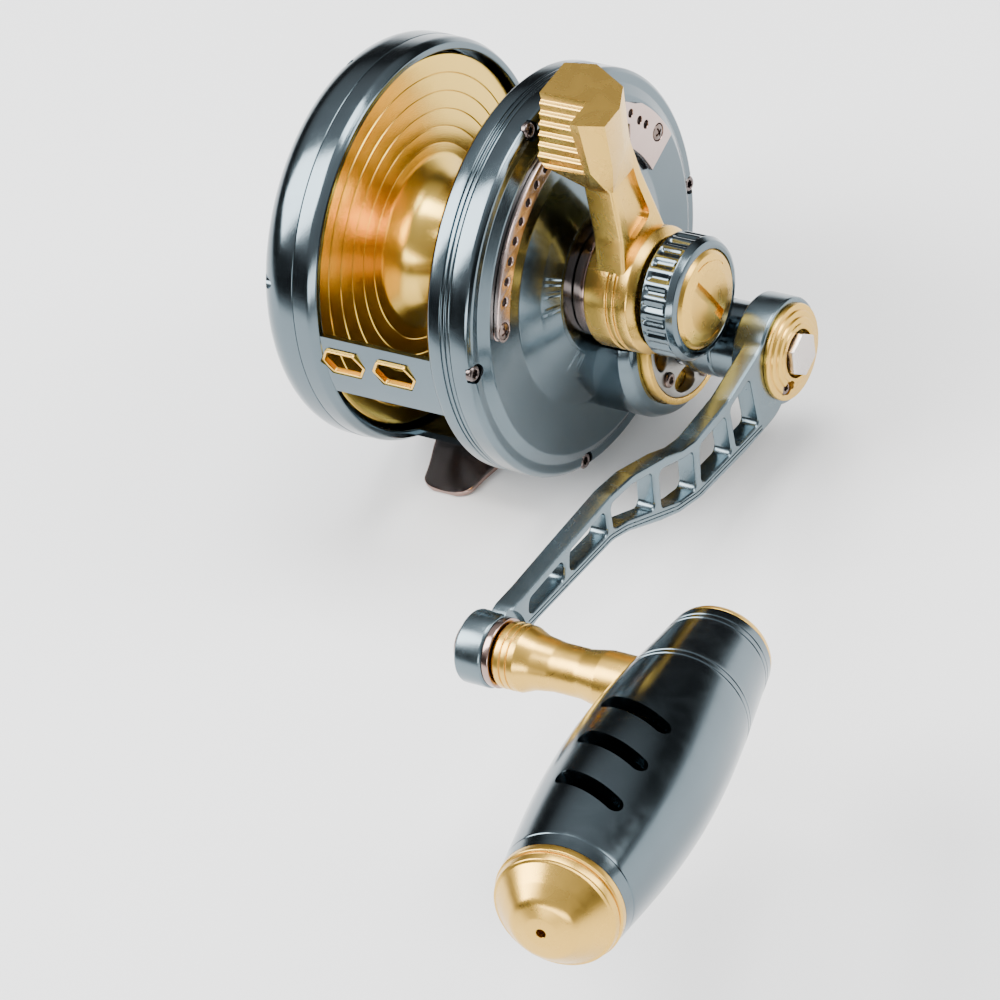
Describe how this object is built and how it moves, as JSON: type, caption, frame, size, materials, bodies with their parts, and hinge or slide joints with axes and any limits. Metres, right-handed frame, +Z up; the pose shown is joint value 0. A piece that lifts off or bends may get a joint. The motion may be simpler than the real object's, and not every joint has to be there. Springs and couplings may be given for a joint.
{
  "type": "trolling reel",
  "caption": "Lever-drag overhead fishing reel with a ringed frame, gold spool, drag lever, crank arm and a barrel handle knob.",
  "frame": {"origin": "centre of the seat face under the reel foot", "axes": "+X along the spool axis towards the handle, +Y forward towards the rod tip, +Z up"},
  "size_m": [0.143, 0.1916, 0.0872],
  "materials": {
    "gunmetal_frame": "polished blue-grey anodised aluminium",
    "gunmetal_plate": "polished blue-grey anodised aluminium",
    "gunmetal_arm": "satin blue-grey anodised aluminium",
    "gunmetal_barrel": "polished gunmetal anodised aluminium",
    "gunmetal_knob": "gunmetal anodised aluminium",
    "bronze_foot": "bronze anodised aluminium, mirror polished",
    "bronze_steel": "pinkish bronze tinted steel",
    "grey_web": "satin grey anodised aluminium",
    "gold_anodised": "gold anodised aluminium",
    "gold_spool": "gold anodised aluminium, turned",
    "gold_lever": "gold anodised aluminium, satin",
    "steel_screws": "tinted stainless steel",
    "pale_nut": "satin stainless steel",
    "carbon_washer": "woven carbon friction face",
    "steel_inner": "machined stainless steel",
    "bearing_steel": "ground bearing steel",
    "bronze_bush": "sintered bronze"
  },
  "bodies": {
    "reel_body": {"frame": "gunmetal_frame", "reel_foot": "bronze_foot", "foot_screws": "steel_screws", "left_side_plate": "gunmetal_plate", "left_plate_screws": "steel_screws", "shaft_bushing": "bronze_bush", "left_bearing_cap": "gold_anodised", "right_side_plate": "gunmetal_plate", "right_plate_screws": "steel_screws", "quadrant_plate": "bronze_steel", "quadrant_screws": "steel_screws", "gear_cover": "grey_web", "gear_cover_ring": "gold_anodised", "gear_cover_screws": "steel_screws", "gear_bridge": "steel_inner", "pinion_bearing": "bearing_steel", "fixed_cam": "steel_inner", "lever_collar": "bronze_steel", "drive_inner_bearing": "bearing_steel", "drive_outer_bearing": "bearing_steel", "clutch_shell": "steel_inner", "clutch_rollers": "steel_inner"},
    "shaft_slider": {"spool_shaft": "steel_inner", "thrust_washer": "steel_inner"},
    "spool_body": {"spool": "gold_spool", "spool_bearings": "bearing_steel", "drag_washer": "carbon_washer"},
    "pinion_body": {"pinion_gear": "steel_inner", "drive_plate": "steel_inner"},
    "lever_body": {"drag_lever": "gold_lever", "detent_spring": "steel_inner"},
    "plunger_body": {"detent_plunger": "steel_inner"},
    "preset_body": {"preset_knob": "gunmetal_knob", "preset_disc": "gold_anodised", "preset_spring": "steel_inner"},
    "crank_body": {"main_gear": "steel_inner", "drive_shaft": "steel_inner", "handle_sleeve": "gunmetal_knob", "handle_arm": "gunmetal_arm", "handle_cap": "gold_anodised", "handle_nut": "pale_nut", "cap_lock_screw": "steel_screws", "knob_stud": "bronze_steel", "stud_washer": "bronze_steel"},
    "grip_body": {"knob_spindle": "gold_anodised", "knob_bushings": "bronze_bush", "knob_barrel": "gunmetal_barrel", "near_end_cap": "gold_anodised", "far_end_cap": "gold_anodised"}
  },
  "joints": [
    {"name": "crank", "type": "hinge", "parent": "reel_body", "child": "crank_body", "pos_m": [0.041, 0.0071, 0.02286], "axis": [1, 0, 0], "continuous": true},
    {"name": "grip_spin", "type": "hinge", "parent": "crank_body", "child": "grip_body", "pos_m": [0.102, -0.08843, 0.04561], "axis": [1, 0, 0], "continuous": true},
    {"name": "pinion_spin", "type": "hinge", "parent": "reel_body", "child": "pinion_body", "pos_m": [0.0271, 0, 0.0415], "axis": [1, 0, 0], "continuous": true},
    {"name": "drag_lever", "type": "hinge", "parent": "reel_body", "child": "lever_body", "pos_m": [0.03665, 0, 0.0415], "axis": [1, 0, 0], "range_deg": [-58, 62]},
    {"name": "drag_shift", "type": "slide", "parent": "reel_body", "child": "shaft_slider", "axis": [1, 0, 0], "range_m": [-0.00032, 0.00032]},
    {"name": "spool_spin", "type": "hinge", "parent": "shaft_slider", "child": "spool_body", "pos_m": [0.008, 0, 0.0415], "axis": [1, 0, 0], "continuous": true},
    {"name": "preset_turn", "type": "hinge", "parent": "lever_body", "child": "preset_body", "pos_m": [0.04835, 0, 0.0415], "axis": [1, 0, 0], "range_deg": [-270, 270]},
    {"name": "detent_press", "type": "slide", "parent": "lever_body", "child": "plunger_body", "axis": [1, 0, 0], "range_m": [0, 0.0008], "stiffness_N_per_m": 400, "springref_m": -0.001}
  ],
  "couplings": [
    {"joint": "pinion_spin", "follows": "crank", "ratio": -2.8},
    {"joint": "spool_spin", "follows": "crank", "ratio": -2.8},
    {"joint": "drag_shift", "follows": "drag_lever", "m_per_rad": -0.00024}
  ]
}
